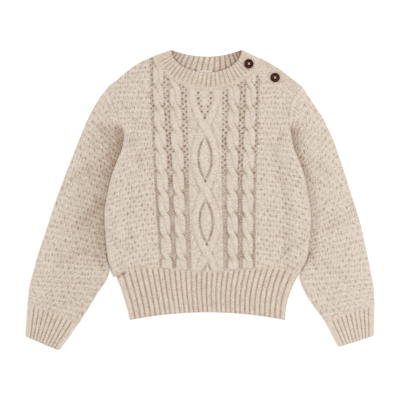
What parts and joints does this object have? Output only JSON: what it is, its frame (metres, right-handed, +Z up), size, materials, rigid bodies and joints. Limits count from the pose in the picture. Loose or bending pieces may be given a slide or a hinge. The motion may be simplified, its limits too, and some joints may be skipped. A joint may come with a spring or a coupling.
{
  "type": "cable knit sweater",
  "caption": "Child's long-sleeved cable knit sweater with ribbed neck, cuffs and hem and a buttoned shoulder, laid flat on its back.",
  "frame": {"origin": "on the surface, in the middle of the sweater's outline", "axes": "+Z up off the surface, +Y towards the neck, +X towards the wearer's left arm"},
  "size_m": [0.5588, 0.4808, 0.015],
  "materials": {
    "wool": "matte oatmeal wool, moss stitch and cables",
    "rib": "matte oatmeal wool, ribbed",
    "button": "glossy dark reddish brown horn look",
    "label": "plain woven satin label, blank"
  },
  "bodies": {
    "root": {"back": "wool", "front": "wool", "sleeve_right": "wool", "sleeve_left": "wool", "cuff_right": "rib", "cuff_left": "rib", "hem_rib_back": "rib", "hem_rib_front": "rib", "neckband_back": "rib", "neckband_front": "rib", "shoulder_band_back": "rib", "shoulder_band_front": "rib", "button_neck": "button", "button_shoulder": "button", "neck_label": "label"}
  },
  "joints": []
}
